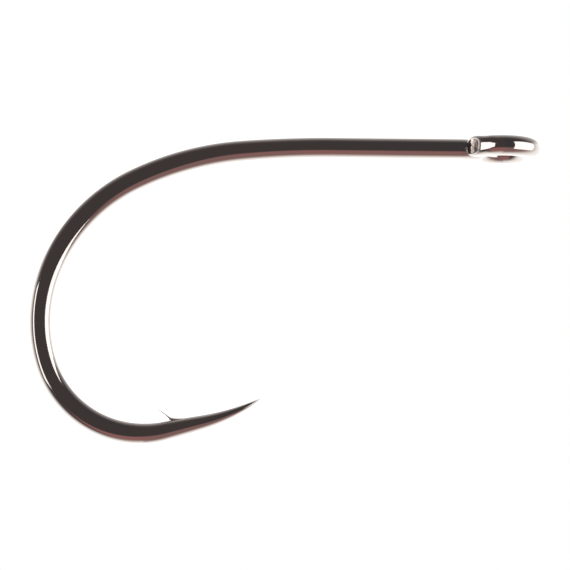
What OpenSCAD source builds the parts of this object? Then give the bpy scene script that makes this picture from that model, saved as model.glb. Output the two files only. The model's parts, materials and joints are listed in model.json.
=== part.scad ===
// Ring-eyed single fishing hook, bent from one length of wire.
// The eye's bore is centred on the origin and runs along Z. The straight shank lies on the X axis,
// on the -X side of the eye, and the bend lies in the XZ plane with the point below the shank.

/* [Wire] */
// Diameter of the round wire, mm
wire_d = 1.0; // [0.8:0.05:1.1]

/* [Shank] */
// Length of the straight stretch between the eye's neck and the bend, mm
shank_len = 6.3; // [4:0.1:12]

/* [Eye] */
// Diameter of the hole through the eye, mm
eye_hole_d = 1.9; // [1.7:0.05:2.4]
// Bending radius of the neck that leads the wire to the side of the eye, mm
neck_r = 0.8; // [0.7:0.05:1.2]
// How far the eye's sheared end passes its nearest point, degrees
tag_wrap = 30; // [20:1:30]

/* [Bend] */
// Size of the bend, as a share of a gape of about 12 mm
bend_size = 1.0; // [0.8:0.05:1.4]
// Width of the forged wire in the plane of the bend, mm
forged_w = 1.08; // [1:0.02:1.2]
// Thickness of the forged wire across its two flats, mm
forged_t = 0.84; // [0.7:0.02:1]

/* [Point] */
// Length over which the spear narrows to the point, mm
taper_len = 7; // [5:0.5:9]
// Length over which the spear thins sideways, mm
thin_len = 3.3; // [2:0.1:4]
// Half angle between the two flats ground beside the point, degrees
grind_angle = 17; // [12:0.5:24]
// Height of the barb's tip over the centre of the wire, mm
barb_rise = 1.2; // [0.8:0.01:1.3]

/* [Hidden] */
$fn = 64;
plating = [0.27, 0.24, 0.23];
cut_steel = [0.42, 0.38, 0.35];

wire_r = wire_d / 2;

// Eye: a ring of wire around Z, with a narrow round land on the inside of the hole.
land_depth = 0.02;
bore_r = eye_hole_d / 2;
ring_r = bore_r + wire_r - land_depth;
// The neck and the ring curve opposite ways and meet where their centres' line crosses both.
neck_x = sqrt(ring_r ^ 2 + 2 * ring_r * neck_r);
neck_turn = acos(neck_r / (ring_r + neck_r));
ring_start = 90 + neck_turn;
ring_end = -90 - tag_wrap;
// The sheared end bends back beside the shank and is cut across at a slant.
tag_r = 1.7;
tag_turn = 42;
tag_cut_at = 29;
tag_cut_slant = 56.6;

// Centre line from the neck to the tip, as [radius, turn in degrees]. A radius of 0 is a straight run.
// The runs between the two straight ones form the bend, and the barb stands on the second straight one.
run = [[0, shank_len], [48 * bend_size, 5.3], [14.8 * bend_size, 21.3], [8.3 * bend_size, 41],
       [6.9 * bend_size, 41.5], [4.88 * bend_size, 84.2], [0, 1.8], [10, 18.4]];
function run_len(r) = r[0] == 0 ? r[1] : r[0] * r[1] * PI / 180;
function run_end(n) = n < 0 ? 0 : run_end(n - 1) + run_len(run[n]);
wire_len = run_end(len(run) - 1);
point_len = 1.2;

// A place on the centre line is [x, z, heading], and headings turn from -X towards -Z.
function ahead(at, r, s) = r[0] == 0
    ? [at[0] + s * cos(at[2]), at[1] + s * sin(at[2]), at[2]]
    : let (h = at[2] + s / r[0] * 180 / PI)
      [at[0] + r[0] * (sin(h) - sin(at[2])), at[1] - r[0] * (cos(h) - cos(at[2])), h];
function place(s, n = 0, at = [-neck_x, 0, 180]) = let (l = run_len(run[n]))
    s <= l || n == len(run) - 1 ? ahead(at, run[n], s) : place(s - l, n + 1, ahead(at, run[n], l));

// Share of the forging at distance s: none on the shank, full round the bend, none near the barb.
forge_from = run_end(1) - 3;
forge_full = run_end(1) + 4;
forge_fade = run_end(4) + 3;
forge_end = run_end(6);
function ease(t) = let (c = max(0, min(1, t))) c * c * (3 - 2 * c);
function forged(s) = ease((s - forge_from) / (forge_full - forge_from))
    - ease((s - forge_fade) / (forge_end - forge_fade));

// How full the wire still is at a distance u from the tip, for a taper of the given length and bluntness.
in_plane_bluntness = 0.77;
sideways_bluntness = 0.8;
function fullness(u, l, bluntness) = sin(90 * pow(max(0, min(1, u / l)), bluntness));

// Cross-section at distance s: an oval with its two sides pressed or ground flat.
// Each point is [towards the inside of the bend, sideways].
oval_t = 0.95;
grind_drop = 1;
sides = 24;
function section(s) =
    let (f = forged(s), u = wire_len - s,
         half_w = (wire_r + f * (forged_w / 2 - wire_r)) * fullness(u, taper_len, in_plane_bluntness),
         half_t = (wire_r + f * (oval_t / 2 - wire_r)) * fullness(u, thin_len, sideways_bluntness),
         flat = f > 0 ? wire_r + f * (forged_t / 2 - wire_r) : wire_r)
    [for (i = [0 : sides - 1])
        let (a = 360 * i / sides, v = half_w * cos(a), y = half_t * sin(a),
             ground = max(0.004, tan(grind_angle) * (u + grind_drop * v)),
             limit = min(flat, ground))
        [v, max(-limit, min(limit, y))]];

// One stretch of the bent wire between the distances s0 and s1, with a flat face at each end.
ring_step = 0.34;
module stretch(s0, s1) {
    rings = ceil((s1 - s0) / ring_step);
    points = [for (i = [0 : rings])
        let (s = s0 + (s1 - s0) * i / rings, p = place(s), c = section(s))
        for (q = c) [p[0] - q[0] * sin(p[2]), q[1], p[1] + q[0] * cos(p[2])]];
    walls = [for (i = [0 : rings - 1], j = [0 : sides - 1])
        let (a = i * sides + j, b = i * sides + (j + 1) % sides)
        each [[a, b, b + sides], [a, b + sides, a + sides]]];
    near_cap = [for (j = [sides - 1 : -1 : 0]) j];
    far_cap = [for (j = [0 : sides - 1]) rings * sides + j];
    polyhedron(points, concat([near_cap, far_cap], walls), convexity = 4);
}

// The eye's ring, three quarters of a turn of round wire, with its land.
module eye_ring() {
    color(plating) difference() {
        rotate([0, 0, ring_end]) rotate_extrude(angle = ring_start - ring_end)
            translate([ring_r, 0]) circle(wire_r);
        cylinder(h = 2 * wire_d, r = bore_r, center = true);
    }
}

// The sharp bend from the shank to the far side of the eye.
module eye_neck() {
    color(plating) translate([-neck_x, neck_r, 0]) rotate([0, 0, -90])
        rotate_extrude(angle = neck_turn) translate([neck_r, 0]) circle(wire_r);
}

// The last of the wire, bent back beside the neck and sheared off at a slant.
module eye_tag() {
    reach = ring_r + tag_r;
    side = 90 - tag_wrap;
    color(cut_steel) difference() {
        translate([-reach * cos(side), -reach * sin(side), 0]) rotate([0, 0, side])
            rotate_extrude(angle = tag_turn) translate([tag_r, 0]) circle(wire_r);
        translate([-reach * cos(side) + tag_r * cos(side + tag_cut_at),
                   -reach * sin(side) + tag_r * sin(side + tag_cut_at), 0])
            rotate([0, 0, -90 - tag_cut_slant]) translate([0, -2 * wire_d, -2 * wire_d])
            cube(4 * wire_d);
    }
}

// The straight round shank.
module shank() {
    color(plating) translate([-neck_x - shank_len, 0, 0]) rotate([0, 90, 0])
        cylinder(h = shank_len, r = wire_r);
}

// The long upper curve, where the wire goes over from round to forged.
module bend_front() {
    color(plating) stretch(run_end(0), run_end(2));
}

// The heel of the bend, forged flat on both sides.
module bend_heel() {
    color(plating) stretch(run_end(2), run_end(4));
}

// The tight lower curve, forged flat on both sides.
module bend_throat() {
    color(plating) stretch(run_end(4), run_end(5));
}

// The narrowing spear, from the barb to the point.
module spear() {
    color(plating) stretch(run_end(5), wire_len - point_len);
}

// The barb: a thin thorn raised from the wire, leaning back towards the bend.
// Its outlines are [distance from the tip of the hook, height over the centre of the wire].
barb_seat = 0.3;
barb_t = 0.26;
barb_tip_t = 0.04;
barb_back = 4.6;
barb_ramp = [[3.85, barb_seat], [3.9, 0.42], [4.3, 0.51], [4.5, 0.61], [barb_back, barb_seat]];
barb_thorn = [[4.4, 0.56], [4.5, 0.62], [barb_back, 0.47]];
barb_tip = [5.16, barb_rise];
module barb_plate(outline) {
    rotate([90, 0, 0]) linear_extrude(barb_t, center = true)
        polygon([for (p = outline) [barb_back - p[0], p[1]]]);
}
module barb() {
    root = place(wire_len - barb_back);
    color(plating) difference() {
        translate([root[0], 0, root[1]]) rotate([0, -root[2], 0]) {
            hull() barb_plate(barb_ramp);
            hull() {
                barb_plate(barb_thorn);
                translate([barb_back - barb_tip[0], 0, barb_tip[1]]) cube(barb_tip_t, center = true);
            }
        }
        stretch(run_end(4), wire_len - point_len);
    }
}

// The last of the spear, with a flat ground on each side of the tip.
tip_blunt = 0.03;
module point() {
    color(plating) stretch(wire_len - point_len, wire_len - tip_blunt);
}

eye_ring();
eye_neck();
eye_tag();
shank();
bend_front();
bend_heel();
bend_throat();
spear();
barb();
point();
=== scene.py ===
"""Looks of a ring-eyed single fishing hook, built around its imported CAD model.

Everything is in metres, in the CAD model's own frame: the eye's bore runs along Z through the origin,
the shank lies along -X, and the bend hangs below it in the XZ plane with the point inside.
"""

import json
import math

import bmesh
import bpy
from mathutils import Matrix, Quaternion, Vector, noise


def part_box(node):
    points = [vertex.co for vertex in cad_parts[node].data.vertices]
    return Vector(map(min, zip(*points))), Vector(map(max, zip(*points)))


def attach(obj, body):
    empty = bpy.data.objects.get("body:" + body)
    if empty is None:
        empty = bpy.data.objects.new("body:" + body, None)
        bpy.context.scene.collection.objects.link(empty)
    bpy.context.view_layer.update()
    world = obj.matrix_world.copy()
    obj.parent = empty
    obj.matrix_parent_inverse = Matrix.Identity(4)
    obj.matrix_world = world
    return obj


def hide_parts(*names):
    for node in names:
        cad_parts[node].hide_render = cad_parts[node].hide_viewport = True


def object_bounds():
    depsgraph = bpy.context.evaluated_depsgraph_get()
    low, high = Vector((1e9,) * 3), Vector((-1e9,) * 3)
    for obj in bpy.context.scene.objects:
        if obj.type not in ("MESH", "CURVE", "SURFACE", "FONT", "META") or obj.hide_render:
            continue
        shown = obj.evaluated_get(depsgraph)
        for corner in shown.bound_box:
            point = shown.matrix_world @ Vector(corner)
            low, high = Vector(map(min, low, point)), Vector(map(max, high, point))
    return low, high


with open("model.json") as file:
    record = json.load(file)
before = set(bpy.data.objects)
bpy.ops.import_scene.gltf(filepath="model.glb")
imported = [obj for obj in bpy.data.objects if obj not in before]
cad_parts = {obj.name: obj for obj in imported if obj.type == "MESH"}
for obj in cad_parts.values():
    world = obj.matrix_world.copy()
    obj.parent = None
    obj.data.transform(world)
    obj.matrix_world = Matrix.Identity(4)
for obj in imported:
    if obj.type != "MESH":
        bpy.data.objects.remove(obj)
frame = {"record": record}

bl_info = {
    "name": "Ring-eyed fishing hook",
    "version": (1, 0, 0),
    "blender": (4, 5, 0),
    "location": "3D View > Sidebar > Hook",
    "description": "Builds the plated wire of a ring-eyed fishing hook and a small studio round it",
    "category": "Add Mesh",
}

MM = 0.001
CAD_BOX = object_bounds()

# ---------------------------------------------------------------------------------------------
# The wire's centre line
# ---------------------------------------------------------------------------------------------

SHANK_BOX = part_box("shank")
WIRE_R = SHANK_BOX[1].z
NECK_X = -SHANK_BOX[1].x
SHANK_LEN = SHANK_BOX[1].x - SHANK_BOX[0].x
RING_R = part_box("eye_ring")[1].x - WIRE_R
BORE_R = frame["record"]["mounts"][0]["dims"]["r_mm"] * MM
# The neck and the ring curve opposite ways and meet on the line between their centres.
NECK_R = (NECK_X ** 2 - RING_R ** 2) / (2 * RING_R)
NECK_TURN = math.acos(NECK_R / (RING_R + NECK_R))

# Centre line of the wire from the neck to the tip, as (radius in metres, turn in radians).
# A radius of 0 is a straight run, and then the second number is its length in metres.
BEND_RUNS = (
    (0, SHANK_LEN),
    (48 * MM, math.radians(5.3)),
    (14.8 * MM, math.radians(21.3)),
    (8.3 * MM, math.radians(41)),
    (6.9 * MM, math.radians(41.5)),
    (4.88 * MM, math.radians(84.2)),
    (0, 1.8 * MM),
    (10 * MM, math.radians(18.4)),
)

# Mesh fineness: distance between rings along the wire, and corners on the four parts of its outline.
RING_STEP = 0.06 * MM
ROUND_CORNERS = 40
FLAT_CORNERS = 8
SIDES = 2 * (ROUND_CORNERS + FLAT_CORNERS)
# Edges that turn by more than this stay sharp.
CREASE_ANGLE = math.radians(9)
# The attribute that says how far each corner is along, across and over the wire, in mm.
PLACE = "wire_place"


def run_length(run):
    """Length of a run along the wire."""
    radius, turn = run
    return radius * turn if radius else turn


def run_end(last):
    """Distance along the wire, from the neck, at which that run ends."""
    return sum(run_length(run) for run in BEND_RUNS[: last + 1])


WIRE_LEN = run_end(len(BEND_RUNS) - 1)
# The forging comes in along the front of the bend, and goes out again before the barb.
FORGE_FROM = run_end(1) - 3 * MM
FORGE_FULL = run_end(1) + 4 * MM
FORGE_FADE = run_end(4) + 3 * MM
FORGE_END = run_end(6)
# How bluntly the wire tapers to the point, from 0, blunt, to 1, an even curve.
IN_PLANE_BLUNTNESS = 0.77
SIDEWAYS_BLUNTNESS = 0.8


def centre_line(distance):
    """The wire's centre and its heading in the XZ plane, at a distance from the neck."""
    x, z, heading = -NECK_X, 0.0, math.pi
    for run in BEND_RUNS:
        radius = run[0]
        last = run is BEND_RUNS[-1]
        step = distance if last else min(distance, run_length(run))
        if radius:
            turned = heading + step / radius
            x += radius * (math.sin(turned) - math.sin(heading))
            z -= radius * (math.cos(turned) - math.cos(heading))
            heading = turned
        else:
            x += step * math.cos(heading)
            z += step * math.sin(heading)
        distance -= step
        if distance <= 0:
            break
    return Vector((x, 0, z)), heading


# ---------------------------------------------------------------------------------------------
# Properties
# ---------------------------------------------------------------------------------------------


class HookShape(bpy.types.PropertyGroup):
    """Sizes of the forged, ground and sheared stretches."""

    forged_width: bpy.props.FloatProperty(
        name="Forged width", description="Width of the forged wire in the plane of the bend",
        default=1.08 * MM, unit="LENGTH")
    forged_thickness: bpy.props.FloatProperty(
        name="Forged thickness", description="Thickness of the forged wire across its two flats",
        default=0.84 * MM, unit="LENGTH")
    oval_thickness: bpy.props.FloatProperty(
        name="Oval thickness", description="Thickness that the forged oval would have without its flats",
        default=0.95 * MM, unit="LENGTH")
    taper_length: bpy.props.FloatProperty(
        name="Taper length", description="Length over which the spear narrows to the point",
        default=7.0 * MM, unit="LENGTH")
    thin_length: bpy.props.FloatProperty(
        name="Thinning length", description="Length over which the spear thins sideways",
        default=3.3 * MM, unit="LENGTH")
    grind_angle: bpy.props.FloatProperty(
        name="Grind angle", description="Half angle between the two flats ground beside the point",
        default=math.radians(17), subtype="ANGLE")
    grind_drop: bpy.props.FloatProperty(
        name="Grind drop", description="How fast the two ground flats close towards the outside of the bend",
        default=1.0)
    grind_softness: bpy.props.FloatProperty(
        name="Grind softness", description="How much of the thickness the ground flats' edges round off",
        default=0.08, min=0.001, max=1, subtype="FACTOR")
    point_length: bpy.props.FloatProperty(
        name="Point length", description="Length of the ground point",
        default=1.2 * MM, unit="LENGTH")
    tip_blunt: bpy.props.FloatProperty(
        name="Tip bluntness", description="How much is missing from the perfectly sharp tip",
        default=0.03 * MM, unit="LENGTH")
    barb_rise: bpy.props.FloatProperty(
        name="Barb height", description="Height of the barb's tip over the centre of the wire",
        default=1.2 * MM, unit="LENGTH")
    barb_width: bpy.props.FloatProperty(
        name="Barb width", description="Width of the ramp that the cut raised in front of the barb",
        default=0.6 * MM, unit="LENGTH")
    tag_radius: bpy.props.FloatProperty(
        name="Tag radius", description="Bending radius of the eye's sheared end",
        default=1.7 * MM, unit="LENGTH")
    tag_wrap: bpy.props.FloatProperty(
        name="Tag wrap", description="How far the ring passes its nearest point before the sheared end",
        default=math.radians(30), subtype="ANGLE")
    tag_cut_at: bpy.props.FloatProperty(
        name="Shear place", description="Turn of the sheared end at the middle of the cut",
        default=math.radians(29), subtype="ANGLE")
    tag_cut_slant: bpy.props.FloatProperty(
        name="Shear slant", description="Direction of the cut, from the line across the shank",
        default=math.radians(56.6), subtype="ANGLE")
    tag_overlap: bpy.props.FloatProperty(
        name="Tag start", description="How much of the ring's wire belongs to the sheared end",
        default=0.5 * MM, unit="LENGTH")
    tag_squareness: bpy.props.FloatProperty(
        name="Tag squareness",
        description="How square the bending jaws pressed the sheared end, 2 for round",
        default=2.5, min=2, max=4)
    cut_proud: bpy.props.FloatProperty(
        name="Cut offset", description="How far the torn face stands out from the plane of the cut",
        default=0.02 * MM, unit="LENGTH")
    rim_width: bpy.props.FloatProperty(
        name="Rim width", description="Width of the polished rim round the sheared face",
        default=0.16 * MM, unit="LENGTH")
    rim_roll: bpy.props.FloatProperty(
        name="Rim roll", description="How much wider the rim is where the blade came in", default=2.8)
    tear_depth: bpy.props.FloatProperty(
        name="Tear depth", description="Depth of the streaks that the shear left",
        default=0.008 * MM, unit="LENGTH")


class HookFinish(bpy.types.PropertyGroup):
    """Colours of the plating and of the cut."""

    plating: bpy.props.StringProperty(
        name="Plating", description="Colour of the black nickel, as sRGB hex", default="948E8A")
    plating_tint: bpy.props.StringProperty(
        name="Plating tint", description="Colour of the black nickel where it is thicker, as sRGB hex",
        default="908A86")
    torn: bpy.props.StringProperty(
        name="Torn steel", description="Colour of the torn part of the cut, as sRGB hex", default="7D716C")
    # The hollows' colour is a painted shade: it darkens the dips between the streaks, where shade would
    # fall.
    torn_hollow_shade: bpy.props.StringProperty(
        name="Torn steel, hollows", description="Colour of the hollows between its streaks, as sRGB hex",
        default="352B2A")
    sheared: bpy.props.StringProperty(
        name="Sheared steel", description="Colour of the smooth part of the cut, as sRGB hex",
        default="2B2020")
    burnished: bpy.props.StringProperty(
        name="Burnished steel", description="Colour of the burnished line between the two, as sRGB hex",
        default="C9BDB6")
    plating_roughness: bpy.props.FloatProperty(
        name="Plating roughness", description="Roughness of the plated surface",
        default=0.07, min=0, max=1, subtype="FACTOR")


class HookStudio(bpy.types.PropertyGroup):
    """The camera, the floor and the light of the studio."""

    distance: bpy.props.FloatProperty(
        name="Camera distance", description="Distance from the camera to what it aims at",
        default=159 * MM, unit="LENGTH")
    elevation: bpy.props.FloatProperty(
        name="Camera elevation", description="Angle of the camera above the horizon",
        default=math.radians(-6.5), subtype="ANGLE")
    roll: bpy.props.FloatProperty(
        name="Camera roll", description="Turn of the camera about its own axis",
        default=math.radians(0.58), subtype="ANGLE")
    lens: bpy.props.FloatProperty(
        name="Lens", description="Focal length of the lens, in mm", default=205.7)
    aim_right: bpy.props.FloatProperty(
        name="Aim right", description="How far right of the hook's middle the camera aims",
        default=-0.04 * MM, unit="LENGTH")
    aim_up: bpy.props.FloatProperty(
        name="Aim up", description="How far over the hook's middle the camera aims",
        default=0.28 * MM, unit="LENGTH")
    floor_drop: bpy.props.FloatProperty(
        name="Floor drop", description="Height of the hung hook over the floor",
        default=17 * MM, unit="LENGTH")
    floor_size: bpy.props.FloatProperty(
        name="Floor size", description="Width of the floor", default=3.0, unit="LENGTH")
    floor_paper: bpy.props.StringProperty(
        name="Floor", description="Colour of the floor, as sRGB hex", default="E6E4E2")
    backdrop: bpy.props.FloatProperty(
        name="Backdrop light", description="Brightness of the sweep behind and below the hook", default=3.0)
    backdrop_right: bpy.props.FloatProperty(
        name="Backdrop light, right", description="Brightness of the right half of the sweep", default=2.8)
    top: bpy.props.FloatProperty(
        name="Top light", description="Brightness of the sweep over the hook", default=1.25)
    softbox: bpy.props.FloatProperty(
        name="Softbox light", description="Brightness of the two softboxes", default=4.0)
    left_width: bpy.props.FloatProperty(
        name="Left softbox width", description="Width of the left softbox",
        default=240 * MM, unit="LENGTH")
    left_height: bpy.props.FloatProperty(
        name="Left softbox height", description="Height of the left softbox",
        default=205 * MM, unit="LENGTH")
    left_rise: bpy.props.FloatProperty(
        name="Left softbox rise", description="How far the left softbox stands over the hook's middle",
        default=-10 * MM, unit="LENGTH")
    dark_left: bpy.props.StringProperty(
        name="Room, left", description="Colour of the dark room to the left, as sRGB hex",
        default="6E6768")
    dark_right: bpy.props.StringProperty(
        name="Room, right", description="Colour of the dark room to the right, as sRGB hex",
        default="666469")
    ceiling: bpy.props.StringProperty(
        name="Ceiling", description="Colour of the dim room beside and over the hook, as sRGB hex",
        default="A09696")
    table_left: bpy.props.StringProperty(
        name="Table, left", description="Colour of the wooden table in front, to the left, as sRGB hex",
        default="EBAAA8")
    table_right: bpy.props.StringProperty(
        name="Table, right", description="Colour of the wooden table in front, to the right, as sRGB hex",
        default="D5AAA6")


# ---------------------------------------------------------------------------------------------
# Materials
# ---------------------------------------------------------------------------------------------


def linear(code):
    """An sRGB hex colour as a linear RGBA colour."""
    channels = [int(code[i : i + 2], 16) / 255 for i in (0, 2, 4)]
    return [c / 12.92 if c <= 0.04045 else ((c + 0.055) / 1.055) ** 2.4 for c in channels] + [1.0]


def add_node(tree, kind, values=None, **settings):
    """Adds a node with its settings. A value is a number, a colour, or the output that it is linked to."""
    node = tree.nodes.new(kind)
    for name, setting in settings.items():
        setattr(node, name, setting)
    for key, value in (values or {}).items():
        if isinstance(value, bpy.types.NodeSocket):
            tree.links.new(value, node.inputs[key])
        else:
            node.inputs[key].default_value = value
    return node


def new_material(name):
    """An empty node material, and its tree."""
    material = bpy.data.materials.new(name)
    material.use_nodes = True
    material.node_tree.nodes.clear()
    return material, material.node_tree


def zone(tree, *limits):
    """1 where every value lies between its limits and 0 elsewhere, with soft edges.

    Each of the limits is (value, low, high, edge), and its edges are twice as wide as edge.
    """
    mask = None
    for value, low, high, edge in limits:
        for limit, before, after in ((low, 0.0, 1.0), (high, 1.0, 0.0)):
            side = add_node(
                tree, "ShaderNodeMapRange",
                {"Value": value, "From Min": limit - edge, "From Max": limit + edge,
                 "To Min": before, "To Max": after},
                interpolation_type="SMOOTHSTEP").outputs["Result"]
            if mask is not None:
                side = add_node(
                    tree, "ShaderNodeMath", {0: mask, 1: side}, operation="MULTIPLY").outputs["Value"]
            mask = side
    return mask


def layered(tree, base, *layers):
    """A colour with others laid over it in turn, each through its mask. A layer is (mask, colour)."""
    for mask, colour in layers:
        base = add_node(
            tree, "ShaderNodeMix", {"Factor": mask, "A": base, "B": colour},
            data_type="RGBA").outputs["Result"]
    return base


def plated_steel(name, finish, line_depth, dent_depth):
    """Black nickel plate on drawn carbon steel wire, tumbled bright.

    It is a nearly black mirror: what shows is the studio, faintly dragged out along the wire by the
    lines of the drawing die, and slightly rippled where the wire was bent or struck.
    """
    material, tree = new_material(name)
    place = add_node(tree, "ShaderNodeAttribute", attribute_name=PLACE).outputs["Vector"]
    # The plating thickens and thins over about 2 mm, which turns its grey a little browner.
    cloud = add_node(tree, "ShaderNodeTexNoise", {"Vector": place, "Scale": 0.5, "Detail": 2.0})
    colour = layered(tree, linear(finish.plating), (cloud.outputs["Fac"], linear(finish.plating_tint)))
    # Drawing lines are about 0.01 mm apart and several mm long. They are drawn 0.05 mm apart to show.
    stretched = add_node(
        tree, "ShaderNodeMapping", {"Vector": place, "Scale": (0.25, 20.0, 20.0)})
    lines = add_node(
        tree, "ShaderNodeTexNoise", {"Vector": stretched.outputs["Vector"], "Scale": 1.0, "Detail": 3.0})
    # Ripples from bending and tumbling are about 0.45 mm long.
    dents = add_node(tree, "ShaderNodeTexNoise", {"Vector": place, "Scale": 2.2, "Detail": 1.0})
    # The lines scatter the light a little more than the plating between them.
    haze = add_node(
        tree, "ShaderNodeMapRange",
        {"Value": lines.outputs["Fac"], "From Min": 0.3, "From Max": 0.7,
         "To Min": finish.plating_roughness * 0.7, "To Max": finish.plating_roughness * 1.4})
    rippled = add_node(
        tree, "ShaderNodeBump",
        {"Height": dents.outputs["Fac"], "Distance": dent_depth, "Strength": 1.0})
    scored = add_node(
        tree, "ShaderNodeBump",
        {"Height": lines.outputs["Fac"], "Distance": line_depth, "Strength": 1.0,
         "Normal": rippled.outputs["Normal"]})
    shader = add_node(
        tree, "ShaderNodeBsdfPrincipled",
        {"Base Color": colour, "Metallic": 1.0, "Roughness": haze.outputs["Result"],
         "Normal": scored.outputs["Normal"]})
    add_node(tree, "ShaderNodeOutputMaterial", {"Surface": shader.outputs["BSDF"]})
    return material


def torn_steel(context):
    """Steel sheared across and plated with the rest.

    The blade first cuts a smooth dark band, then burnishes a bright ragged line, and drags the rest into
    upright brown streaks, whose hollows are darkened with a painted shade.
    """
    finish = context.scene.hook_finish
    middle, _, across = cut_plane(context.scene.hook_shape)
    material, tree = new_material("sheared_carbon_steel_wire_end")
    place = add_node(tree, "ShaderNodeTexCoord").outputs["Object"]
    # On the cut, X runs across it and Z up it, both in mm from its middle.
    turn = math.atan2(across.y, across.x)
    centred = add_node(
        tree, "ShaderNodeMapping",
        {"Vector": place, "Location": middle, "Rotation": (0, 0, turn), "Scale": (MM, MM, MM)},
        vector_type="TEXTURE").outputs["Vector"]
    # The streaks are about 0.08 mm apart and 0.5 mm long.
    squeezed = add_node(tree, "ShaderNodeMapping", {"Vector": centred, "Scale": (12.0, 12.0, 2.0)})
    streaks = add_node(
        tree, "ShaderNodeTexNoise",
        {"Vector": squeezed.outputs["Vector"], "Scale": 1.0, "Detail": 2.0}).outputs["Fac"]
    # This mask is 1 on the streaks' tops and 0 in their hollows, where the painted shade goes.
    streak_shade_mask = add_node(
        tree, "ShaderNodeMapRange", {"Value": streaks, "From Min": 0.4, "From Max": 0.6}).outputs["Result"]
    # The burnished line is 0.2 mm wide and wanders by about 0.08 mm, in notches about 0.15 mm tall.
    ragged = add_node(tree, "ShaderNodeTexNoise", {"Vector": centred, "Scale": 7.0, "Detail": 1.0})
    aside = add_node(tree, "ShaderNodeSeparateXYZ", {"Vector": centred}).outputs["X"]
    wander = add_node(
        tree, "ShaderNodeMath", {0: ragged.outputs["Fac"], 1: 0.3, 2: aside},
        operation="MULTIPLY_ADD").outputs["Value"]
    line_start, line_end, softness, past_edge = 0.03, 0.23, 0.03, 9.0
    # The streaks' tops get the torn steel's own colour, and the hollows between them a painted shade.
    colour = layered(
        tree, linear(finish.torn_hollow_shade),
        (streak_shade_mask, linear(finish.torn)),
        (zone(tree, (wander, line_start, line_end, softness)), linear(finish.burnished)),
        (zone(tree, (wander, -past_edge, line_start, softness)), linear(finish.sheared)))
    # The tops of the streaks are smoother than the hollows between them.
    dull = add_node(
        tree, "ShaderNodeMapRange",
        {"Value": streaks, "From Min": 0.3, "From Max": 0.7, "To Min": 0.45, "To Max": 0.25})
    bump = add_node(
        tree, "ShaderNodeBump", {"Height": streaks, "Distance": 0.004 * MM, "Strength": 1.0})
    shader = add_node(
        tree, "ShaderNodeBsdfPrincipled",
        {"Base Color": colour, "Metallic": 1.0, "Roughness": dull.outputs["Result"],
         "Normal": bump.outputs["Normal"]})
    add_node(tree, "ShaderNodeOutputMaterial", {"Surface": shader.outputs["BSDF"]})
    return material


def lit_nylon(name, strength):
    """White nylon over a lamp, bright and even right across."""
    material, tree = new_material(name)
    glow = add_node(tree, "ShaderNodeEmission", {"Color": (1.0, 1.0, 1.0, 1.0), "Strength": strength})
    add_node(tree, "ShaderNodeOutputMaterial", {"Surface": glow.outputs["Emission"]})
    return material


def paper(name, code):
    """Matt white background paper: an even pale surface with a faint tooth."""
    material, tree = new_material(name)
    place = add_node(tree, "ShaderNodeTexCoord").outputs["Object"]
    # The tooth of the paper is about 0.5 mm across.
    tooth = add_node(tree, "ShaderNodeTexNoise", {"Vector": place, "Scale": 2000.0, "Detail": 2.0})
    bump = add_node(
        tree, "ShaderNodeBump", {"Height": tooth.outputs["Fac"], "Distance": 0.02 * MM, "Strength": 0.3})
    shader = add_node(
        tree, "ShaderNodeBsdfPrincipled",
        {"Base Color": linear(code), "Roughness": 0.95, "Normal": bump.outputs["Normal"]})
    add_node(tree, "ShaderNodeOutputMaterial", {"Surface": shader.outputs["BSDF"]})
    return material


def wire_material(context):
    """The plated wire away from the eye, made once."""
    name = "black_nickel_plated_steel_wire"
    return bpy.data.materials.get(name) or plated_steel(
        name, context.scene.hook_finish, line_depth=0.00025 * MM, dent_depth=0.0012 * MM)


def eye_material(context):
    """The plated wire of the eye, which the bending tools have rippled, made once."""
    name = "black_nickel_plated_steel_eye"
    return bpy.data.materials.get(name) or plated_steel(
        name, context.scene.hook_finish, line_depth=0.0003 * MM, dent_depth=0.004 * MM)


# ---------------------------------------------------------------------------------------------
# Cross-section of the bent wire
# ---------------------------------------------------------------------------------------------


def ease(t):
    """Goes smoothly from 0 to 1 as t does."""
    t = max(0.0, min(1.0, t))
    return t * t * (3 - 2 * t)


def forged(distance):
    """Share of the forging: none on the shank, full round the bend, none near the barb."""
    coming = ease((distance - FORGE_FROM) / (FORGE_FULL - FORGE_FROM))
    return coming - ease((distance - FORGE_FADE) / (FORGE_END - FORGE_FADE))


def fullness(left, length, bluntness):
    """How full the wire still is, at a distance left to the tip of a taper."""
    share = max(0.0, min(1.0, left / length))
    return math.sin(math.pi / 2 * share ** bluntness)


def soft_min(a, b, blend):
    """The smaller of two numbers, rounded off where they differ by less than blend."""
    near = max(blend - abs(a - b), 0.0)
    return min(a, b) - near ** 2 / (4 * blend)


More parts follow.
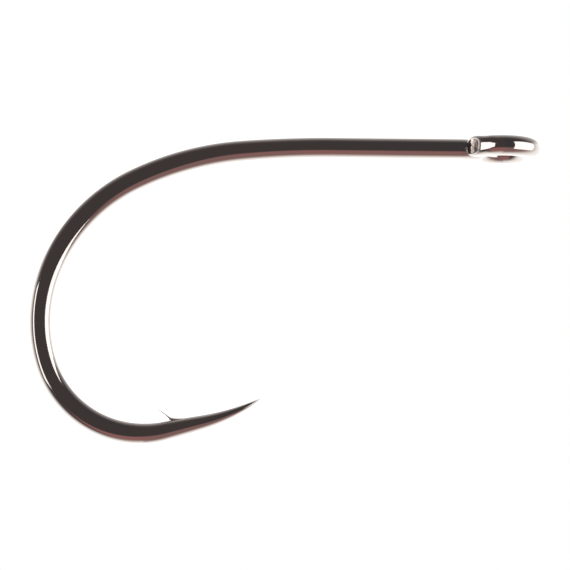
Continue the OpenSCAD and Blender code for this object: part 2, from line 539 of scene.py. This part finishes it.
def outline(distance, shape):
    """Points of the wire's cross-section, as (towards the inside of the bend, sideways)."""
    share = forged(distance)
    left = max(WIRE_LEN - distance, 0.0)
    half_width = WIRE_R + share * (shape.forged_width / 2 - WIRE_R)
    half_thickness = WIRE_R + share * (shape.oval_thickness / 2 - WIRE_R)
    half_width *= fullness(left, shape.taper_length, IN_PLANE_BLUNTNESS)
    half_thickness *= fullness(left, shape.thin_length, SIDEWAYS_BLUNTNESS)
    flat = WIRE_R + share * (shape.forged_thickness / 2 - WIRE_R)
    # The oval is pressed flat between this angle and its mirror image, on both sides.
    # Where it isn't flattened, the flat shrinks to the last two degrees before its top.
    crease = min(math.radians(88), math.asin(min(1.0, flat / half_thickness)))
    edge = Vector((half_width * math.cos(crease), half_thickness * math.sin(crease)))
    points = []
    for side in (1, -1):
        for i in range(ROUND_CORNERS):
            angle = crease * (2 * i / ROUND_CORNERS - 1)
            points.append((side * half_width * math.cos(angle), side * half_thickness * math.sin(angle)))
        points += [
            (side * edge.x * (1 - 2 * i / FLAT_CORNERS), side * edge.y) for i in range(FLAT_CORNERS)]
    blend = shape.grind_softness * half_thickness
    slope = math.tan(shape.grind_angle)
    return [
        (inward, math.copysign(
            soft_min(abs(aside), slope * (left + shape.grind_drop * inward), blend), aside))
        for inward, aside in points]


# ---------------------------------------------------------------------------------------------
# Mesh helpers
# ---------------------------------------------------------------------------------------------


def tube(rings, sides, corner, torn_from=None):
    """A grid rolled up into a tube with closed ends.

    corner(ring, side) is the place of one corner and its distances along, across and over the wire.
    Faces past the ring torn_from get the piece's second material.
    """
    bm = bmesh.new()
    bmesh.ops.create_grid(bm, x_segments=rings, y_segments=sides, size=0.5)
    place = bm.verts.layers.float_vector.new(PLACE)
    if torn_from is not None:
        for face in bm.faces:
            face.material_index = int((face.calc_center_median().x + 0.5) * rings > torn_from)
    for vert in bm.verts:
        ring = round((vert.co.x + 0.5) * rings)
        side = round((vert.co.y + 0.5) * sides) % sides
        vert.co, vert[place] = corner(ring, side)
    bmesh.ops.remove_doubles(bm, verts=bm.verts[:], dist=1e-9)
    close_ends(bm)
    return bm


def close_ends(bm):
    """Closes every open edge loop with a flat face."""
    open_edges = [edge for edge in bm.edges if edge.is_boundary]
    bmesh.ops.holes_fill(bm, edges=open_edges, sides=0)


def extrude_ring(bm, edges):
    """Extrudes a ring of edges and gives its new corners and edges, which still lie on the old ones."""
    grown = bmesh.ops.extrude_edge_only(bm, edges=edges)["geom"]
    verts = [part for part in grown if isinstance(part, bmesh.types.BMVert)]
    corners = set(verts)
    edges = [
        part for part in grown if isinstance(part, bmesh.types.BMEdge) and set(part.verts) <= corners]
    return verts, edges


def new_piece(bm, name, materials):
    """Makes the mesh a piece that stands for the CAD node of the same name."""
    bmesh.ops.recalc_face_normals(bm, faces=bm.faces[:])
    for face in bm.faces:
        face.smooth = True
    for edge in bm.edges:
        edge.smooth = edge.is_manifold and edge.calc_face_angle() < CREASE_ANGLE
    mesh = bpy.data.meshes.new(name)
    bm.to_mesh(mesh)
    bm.free()
    for material in materials:
        mesh.materials.append(material)
    piece = bpy.data.objects.new(name + "_plated", mesh)
    bpy.context.scene.collection.objects.link(piece)
    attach(piece, "root")
    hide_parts(name)


def tag_hub(shape):
    """The centre round which the sheared end bends back."""
    side = math.pi / 2 - shape.tag_wrap
    reach = RING_R + shape.tag_radius
    return Vector((-reach * math.cos(side), -reach * math.sin(side), 0))


def cut_plane(shape):
    """The middle of the cut through the sheared end, its normal, and the level direction in it."""
    at = math.pi / 2 - shape.tag_wrap + shape.tag_cut_at
    facing = -math.pi / 2 - shape.tag_cut_slant
    normal = Vector((math.cos(facing), math.sin(facing), 0))
    middle = tag_hub(shape) + shape.tag_radius * Vector((math.cos(at), math.sin(at), 0))
    return middle + normal * shape.cut_proud, normal, Vector((-normal.y, normal.x, 0))


def bent_stretch(context, name, start, end):
    """One stretch of the bent wire between two distances from the neck."""
    shape = context.scene.hook_shape
    rings = math.ceil((end - start) / RING_STEP)
    stations = []
    for i in range(rings + 1):
        distance = start + (end - start) * i / rings
        centre, heading = centre_line(distance)
        inward = Vector((-math.sin(heading), 0, math.cos(heading)))
        stations.append((distance, centre, inward, outline(distance, shape)))

    def corner(ring, side):
        """A corner of the outline at one station."""
        distance, centre, inward, points = stations[ring]
        up, aside = points[side]
        place = centre + up * inward + Vector((0, aside, 0))
        return place, Vector((distance, aside, up)) / MM

    bm = tube(rings, SIDES, corner)
    new_piece(bm, name, [wire_material(context)])


def eye_arc(centre, radius, start, turn):
    """Round wire bent to an arc in the plane of the eye, as an open tube."""
    bm = bmesh.new()
    place = (
        Matrix.Translation(centre) @ Matrix.Rotation(start, 4, "Z")
        @ Matrix.Translation((radius, 0, 0)) @ Matrix.Rotation(math.pi / 2, 4, "X"))
    bmesh.ops.create_circle(bm, cap_ends=False, segments=SIDES, radius=WIRE_R, matrix=place)
    steps = math.ceil(radius * abs(turn) / RING_STEP)
    bmesh.ops.spin(
        bm, geom=bm.verts[:] + bm.edges[:], cent=centre, axis=(0, 0, 1), dvec=(0, 0, 0), angle=turn,
        steps=steps, use_merge=False, use_normal_flip=False, use_duplicate=False)
    return bm


def mark_arc(bm, centre, radius):
    """Stores how far each corner of an arc is along, across and over the wire, in mm."""
    place = bm.verts.layers.float_vector.new(PLACE)
    for vert in bm.verts:
        arm = vert.co - Vector(centre)
        turn = math.atan2(arm.y, arm.x)
        across = math.hypot(arm.x, arm.y) - radius
        vert[place] = Vector((radius * turn, across, arm.z)) / MM


# ---------------------------------------------------------------------------------------------
# Pieces
# ---------------------------------------------------------------------------------------------


class HOOK_OT_eye(bpy.types.Operator):
    """Builds the ring of the eye, with the narrow land inside its hole, and the neck that leads to it"""

    bl_idname = "hook.eye"
    bl_label = "Eye and neck"

    def execute(self, context):
        shape = context.scene.hook_shape
        end = -math.pi / 2 - shape.tag_wrap + shape.tag_overlap / RING_R
        start = math.pi / 2 + NECK_TURN
        ring = eye_arc((0, 0, 0), RING_R, end, start - end)
        for vert in ring.verts:
            out = math.hypot(vert.co.x, vert.co.y)
            if out < BORE_R:
                vert.co.xy *= BORE_R / out
        mark_arc(ring, (0, 0, 0), RING_R)
        close_ends(ring)
        new_piece(ring, "eye_ring", [eye_material(context)])
        centre = (-NECK_X, NECK_R, 0)
        neck = eye_arc(centre, NECK_R, -math.pi / 2, NECK_TURN)
        mark_arc(neck, centre, NECK_R)
        close_ends(neck)
        new_piece(neck, "eye_neck", [eye_material(context)])
        return {"FINISHED"}


class HOOK_OT_tag(bpy.types.Operator):
    """Builds the sheared end of the eye, bent back beside the neck, with its rounded rim and torn face"""

    bl_idname = "hook.tag"
    bl_label = "Sheared end"

    def execute(self, context):
        shape = context.scene.hook_shape
        wall_rings, rim_rings, face_rings = 32, 10, 20
        rim_end = wall_rings + rim_rings
        streak_width, streak_height = 0.12 * MM, 0.8 * MM
        side = math.pi / 2 - shape.tag_wrap
        hub = tag_hub(shape)
        middle, normal, across = cut_plane(shape)
        facing = 2 * math.pi + math.atan2(normal.y, normal.x)

        def offsets(distance, angle):
            """How far a point of the wall lies out of and over the wire's centre."""
            pressed = ease((distance + shape.tag_overlap) / shape.tag_overlap)
            power = 2 / (2 + (shape.tag_squareness - 2) * pressed)
            out, over_centre = math.cos(angle), math.sin(angle)
            return (
                WIRE_R * math.copysign(abs(out) ** power, out),
                WIRE_R * math.copysign(abs(over_centre) ** power, over_centre))

        def wall(distance, angle):
            """A point of the wall at a distance past the ring's end, on the ring when below zero."""
            out, height = offsets(distance, angle)
            if distance < 0:
                turn = -math.pi / 2 - shape.tag_wrap - distance / RING_R
                return Vector(((RING_R + out) * math.cos(turn), (RING_R + out) * math.sin(turn), height))
            turn = side + distance / shape.tag_radius
            arm = shape.tag_radius - out
            return hub + Vector((arm * math.cos(turn), arm * math.sin(turn), height))

        def wall_end(angle):
            """How far past the ring's end the wall reaches before it meets the cut."""
            arm = shape.tag_radius - offsets(0, angle)[0]
            return shape.tag_radius * (facing - side - math.acos((middle - hub).dot(normal) / arm))

        def corner(ring, side_number):
            """A corner of the wall, then of the rounded rim, then of the torn face."""
            angle = 2 * math.pi * side_number / SIDES
            end = wall_end(angle)
            edge = wall(end, angle)
            inner = end - shape.rim_width * (1 + shape.rim_roll * max(0, math.cos(angle)))
            outer = edge + (middle - edge).normalized() * shape.rim_width
            distance = end
            if ring <= wall_rings:
                distance = -shape.tag_overlap + (inner + shape.tag_overlap) * ring / wall_rings
                place = wall(distance, angle)
            elif ring <= rim_end:
                t = (ring - wall_rings) / rim_rings
                place = wall(inner, angle) * (1 - t) ** 2 + edge * 2 * t * (1 - t) + outer * t ** 2
            else:
                t = (ring - rim_end) / face_rings
                place = outer.lerp(middle, t)
                streak = noise.noise(Vector((place.dot(across) / streak_width, place.z / streak_height, 0)))
                # The streaks run out at the rim, and lie more below the face than above it.
                place += normal * shape.tear_depth * min(1, 6 * t) * (streak - 0.4)
            return place, Vector((distance, offsets(distance, angle)[0], place.z)) / MM

        bm = tube(rim_end + face_rings, SIDES, corner, rim_end)
        new_piece(bm, "eye_tag", [eye_material(context), torn_steel(context)])
        return {"FINISHED"}


class HOOK_OT_shank(bpy.types.Operator):
    """Builds the straight round shank"""

    bl_idname = "hook.shank"
    bl_label = "Shank"

    def execute(self, context):
        bm = bmesh.new()
        place = Matrix.Translation((-NECK_X, 0, 0)) @ Matrix.Rotation(-math.pi / 2, 4, "Y")
        bmesh.ops.create_circle(bm, cap_ends=False, segments=SIDES, radius=WIRE_R, matrix=place)
        edges = bm.edges[:]
        steps = 12
        for _ in range(steps):
            verts, edges = extrude_ring(bm, edges)
            bmesh.ops.translate(bm, verts=verts, vec=(-SHANK_LEN / steps, 0, 0))
        layer = bm.verts.layers.float_vector.new(PLACE)
        for vert in bm.verts:
            vert[layer] = Vector((-NECK_X - vert.co.x, vert.co.y, -vert.co.z)) / MM
        close_ends(bm)
        new_piece(bm, "shank", [wire_material(context)])
        return {"FINISHED"}


class HOOK_OT_bend(bpy.types.Operator):
    """Builds the bend in its three stretches, from the round shank to the spear"""

    bl_idname = "hook.bend"
    bl_label = "Bend"

    def execute(self, context):
        bent_stretch(context, "bend_front", run_end(0), run_end(2))
        bent_stretch(context, "bend_heel", run_end(2), run_end(4))
        bent_stretch(context, "bend_throat", run_end(4), run_end(5))
        return {"FINISHED"}


class HOOK_OT_spear(bpy.types.Operator):
    """Builds the tapering spear and the ground point"""

    bl_idname = "hook.spear"
    bl_label = "Spear and point"

    def execute(self, context):
        shape = context.scene.hook_shape
        middle = WIRE_LEN - shape.point_length
        bent_stretch(context, "spear", run_end(5), middle)
        bent_stretch(context, "point", middle, WIRE_LEN - shape.tip_blunt)
        return {"FINISHED"}


class HOOK_OT_barb(bpy.types.Operator):
    """Builds the barb, a sliver of wire raised by a slanting cut"""

    bl_idname = "hook.barb"
    bl_label = "Barb"

    def execute(self, context):
        shape = context.scene.hook_shape
        # The barb's top and underside, as (distance from the hook's tip, height over the wire's centre),
        # and its half width, as a share of its widest.
        rise = shape.barb_rise / MM
        top = (
            (3.5, 0.35), (3.9, 0.42), (4.25, 0.49), (4.5, 0.58), (4.65, 0.72), (4.85, 0.93), (5.18, rise))
        under = (
            (3.5, 0.1), (3.9, 0.1), (4.25, 0.1), (4.5, 0.1), (4.66, 0.52), (4.84, 0.81),
            (5.16, rise - 0.03))
        widths = (0.7, 1.0, 1.0, 0.9, 0.75, 0.5, 0.15)
        rings, sides = 60, 32

        def along(points, t):
            """A smooth curve through the points."""
            last = len(points) - 1
            i = min(int(t * last), last - 1)
            f = t * last - i
            p = [Vector(points[max(0, min(last, k))]) for k in (i - 1, i, i + 1, i + 2)]
            return 0.5 * (
                2 * p[1] + (p[2] - p[0]) * f + (2 * p[0] - 5 * p[1] + 4 * p[2] - p[3]) * f * f
                + (3 * p[1] - p[0] - 3 * p[2] + p[3]) * f * f * f)

        # Heights are taken square to the wire where the thorn leaves it.
        root = 4.6
        origin, heading = centre_line(WIRE_LEN - root * MM)
        forward = Vector((math.cos(heading), 0, math.sin(heading)))
        inward = Vector((-math.sin(heading), 0, math.cos(heading)))

        def corner(ring, side):
            """A corner of the barb, on an oval between its underside and its top."""
            t = ring / rings
            high, low = along(top, t), along(under, t)
            width = along([(w, 0) for w in widths], t).x * shape.barb_width / 2 / MM
            angle = 2 * math.pi * side / sides
            middle = (high + low) / 2 + (high - low) / 2 * math.sin(angle)
            aside = width * math.cos(angle)
            place = origin + ((root - middle.x) * forward + middle.y * inward) * MM
            return place + Vector((0, aside * MM, 0)), Vector((-middle.x, aside, middle.y))

        bm = tube(rings, sides, corner)
        new_piece(bm, "barb", [wire_material(context)])
        return {"FINISHED"}


# ---------------------------------------------------------------------------------------------
# Studio
# ---------------------------------------------------------------------------------------------


class HOOK_OT_studio(bpy.types.Operator):
    """Builds the floor, the light and the camera"""

    bl_idname = "hook.studio"
    bl_label = "Studio"

    def execute(self, context):
        studio = context.scene.hook_studio
        self.add_floor(context, studio)
        self.add_softboxes(context, studio)
        self.add_light(context, studio)
        self.add_camera(context, studio)
        return {"FINISHED"}

    def add_floor(self, context, studio):
        """A pale sheet below the hook. The wire mirrors the studio light and not the sheet."""
        bm = bmesh.new()
        low = CAD_BOX[0].z - studio.floor_drop
        bmesh.ops.create_grid(
            bm, x_segments=8, y_segments=8, size=studio.floor_size / 2,
            matrix=Matrix.Translation((0, 0, low)))
        mesh = bpy.data.meshes.new("studio_floor")
        bm.to_mesh(mesh)
        bm.free()
        mesh.materials.append(paper("matt_white_background_paper", studio.floor_paper))
        floor = bpy.data.objects.new("studio_floor", mesh)
        context.scene.collection.objects.link(floor)
        floor.visible_glossy = False

    def add_softbox(self, context, name, centre, facing, width, height, roll, strength):
        """A lit card that the wire mirrors. The camera looks through it, and it leaves the floor alone."""
        bm = bmesh.new()
        turn = (Vector(facing).to_track_quat("Z", "Y") @ Quaternion((0, 0, 1), roll)).to_matrix().to_4x4()
        bmesh.ops.create_grid(bm, x_segments=1, y_segments=1, size=0.5)
        bmesh.ops.scale(bm, verts=bm.verts[:], vec=(width, height, 1))
        bmesh.ops.transform(bm, verts=bm.verts[:], matrix=Matrix.Translation(centre) @ turn)
        mesh = bpy.data.meshes.new(name)
        bm.to_mesh(mesh)
        bm.free()
        mesh.materials.append(lit_nylon(name + "_front_of_white_nylon", strength))
        card = bpy.data.objects.new(name, mesh)
        context.scene.collection.objects.link(card)
        card.visible_camera = False
        card.visible_diffuse = False
        card.visible_shadow = False

    def add_softboxes(self, context, studio):
        """A near softbox to the right, reaching round to the side, and a far one to the left."""
        front_edge = Vector((22 * MM, -35 * MM, 0))
        side_edge = Vector((72 * MM, 11 * MM, 0))
        low, high = -38 * MM, 26 * MM
        tilt = math.radians(-2)
        middle = (front_edge + side_edge) / 2 + Vector((0, 0, (low + high) / 2))
        span = side_edge - front_edge
        self.add_softbox(
            context, "softbox_right", middle, (-span.y, span.x, 0), span.length, high - low,
            tilt, studio.softbox)
        azimuth, distance = math.radians(-46), 300 * MM
        facing = Vector((math.sin(azimuth), -math.cos(azimuth), 0))
        place = (CAD_BOX[0] + CAD_BOX[1]) / 2 + facing * distance
        self.add_softbox(
            context, "softbox_left", place + Vector((0, 0, studio.left_rise)), -facing,
            studio.left_width, studio.left_height, 0, studio.softbox)

    def add_light(self, context, studio):
        """The world round the hook.

        A bright sweep lies behind and below it, a warm table in front of it and below, a dim ceiling
        beside and over it, and a dark room in front. Angles are taken from where the camera stands at
        first, and don't follow it.
        """
        world = bpy.data.worlds.new("studio_light")
        world.use_nodes = True
        context.scene.world = world
        context.scene.view_settings.view_transform = "Standard"
        tree = world.node_tree
        tree.nodes.clear()
        degrees = math.radians
        whole = degrees(400)

        # A direction is told by its height, how far aside it is, and how far it turns away from the front.
        direction = add_node(tree, "ShaderNodeTexCoord").outputs["Generated"]
        turned = add_node(
            tree, "ShaderNodeVectorRotate", {"Vector": direction, "Angle": studio.elevation},
            rotation_type="X_AXIS")
        axes = add_node(tree, "ShaderNodeSeparateXYZ", {"Vector": turned.outputs["Vector"]})
        front = add_node(
            tree, "ShaderNodeMath", {0: axes.outputs["Y"], 1: -1.0}, operation="MULTIPLY").outputs["Value"]
        height = add_node(
            tree, "ShaderNodeMath", {0: axes.outputs["Z"]}, operation="ARCSINE").outputs["Value"]
        aside = add_node(
            tree, "ShaderNodeMath", {0: axes.outputs["X"], 1: front}, operation="ARCTAN2").outputs["Value"]
        away = add_node(tree, "ShaderNodeMath", {0: front}, operation="ARCCOSINE").outputs["Value"]

        right = zone(tree, (aside, degrees(5), whole, degrees(12)))
        beside = zone(tree, (away, degrees(85), whole, degrees(20)))
        below = zone(
            tree, (height, -whole, degrees(-29), degrees(9)), (aside, degrees(-46), whole, degrees(12)))
        above = zone(tree, (away, degrees(112), whole, degrees(26)))
        # The sweep starts nearer below the hook, and farther behind it on the right.
        sunk = away
        for part, shift in ((axes.outputs["Z"], degrees(-3)), (right, degrees(-8))):
            sunk = add_node(
                tree, "ShaderNodeMath", {0: part, 1: shift, 2: sunk},
                operation="MULTIPLY_ADD").outputs["Value"]
        behind = zone(
            tree, (sunk, degrees(91), whole, degrees(24)), (height, -whole, degrees(22), degrees(12)))
        # What the camera sees directly is plain white paper.
        seen = add_node(tree, "ShaderNodeLightPath").outputs["Is Camera Ray"]

        table = layered(tree, linear(studio.table_left), (right, linear(studio.table_right)))
        left_sweep, right_sweep, top, white = (
            [level] * 3 + [1.0] for level in (studio.backdrop, studio.backdrop_right, studio.top, 1.0))
        sweep = layered(tree, left_sweep, (right, right_sweep))
        light = layered(
            tree, linear(studio.dark_left),
            (right, linear(studio.dark_right)),
            (beside, linear(studio.ceiling)),
            (below, table),
            (above, top),
            (behind, sweep),
            (seen, white))
        glow = add_node(tree, "ShaderNodeBackground", {"Color": light})
        add_node(tree, "ShaderNodeOutputWorld", {"Surface": glow.outputs["Background"]})

    def add_camera(self, context, studio):
        """A long lens in front of the hook and a little below it."""
        middle = (CAD_BOX[0] + CAD_BOX[1]) / 2
        target = middle + Vector((studio.aim_right, 0, studio.aim_up))
        back = Vector((0, -math.cos(studio.elevation), math.sin(studio.elevation)))
        data = bpy.data.cameras.new("camera")
        data.lens = studio.lens
        data.clip_start = studio.distance / 20
        data.clip_end = studio.distance * 50
        camera = bpy.data.objects.new("camera", data)
        context.scene.collection.objects.link(camera)
        camera.rotation_mode = "QUATERNION"
        camera.location = target + back * studio.distance
        roll = Quaternion((0, 0, 1), studio.roll)
        camera.rotation_quaternion = (-back).to_track_quat("-Z", "Y") @ roll
        context.scene.camera = camera


# ---------------------------------------------------------------------------------------------
# Sidebar and registration
# ---------------------------------------------------------------------------------------------

OPERATORS = (
    HOOK_OT_eye, HOOK_OT_tag, HOOK_OT_shank, HOOK_OT_bend, HOOK_OT_spear, HOOK_OT_barb, HOOK_OT_studio)


class HOOK_PT_panel(bpy.types.Panel):
    """Lists the hook's operators"""

    bl_idname = "HOOK_PT_panel"
    bl_label = "Hook"
    bl_space_type = "VIEW_3D"
    bl_region_type = "UI"
    bl_category = "Hook"

    def draw(self, context):
        for operator in OPERATORS:
            self.layout.operator(operator.bl_idname)
        for group in (context.scene.hook_shape, context.scene.hook_finish, context.scene.hook_studio):
            for name in group.__annotations__:
                self.layout.prop(group, name)


CLASSES = (HookShape, HookFinish, HookStudio, *OPERATORS, HOOK_PT_panel)


def register():
    for cls in CLASSES:
        bpy.utils.register_class(cls)
    bpy.types.Scene.hook_shape = bpy.props.PointerProperty(type=HookShape)
    bpy.types.Scene.hook_finish = bpy.props.PointerProperty(type=HookFinish)
    bpy.types.Scene.hook_studio = bpy.props.PointerProperty(type=HookStudio)


def unregister():
    del bpy.types.Scene.hook_studio
    del bpy.types.Scene.hook_finish
    del bpy.types.Scene.hook_shape
    for cls in reversed(CLASSES):
        bpy.utils.unregister_class(cls)


def main():
    """Builds the hook and its studio."""
    register()
    bpy.ops.hook.eye()
    bpy.ops.hook.tag()
    bpy.ops.hook.shank()
    bpy.ops.hook.bend()
    bpy.ops.hook.spear()
    bpy.ops.hook.barb()
    bpy.ops.hook.studio()


if __name__ == "__main__":
    main()
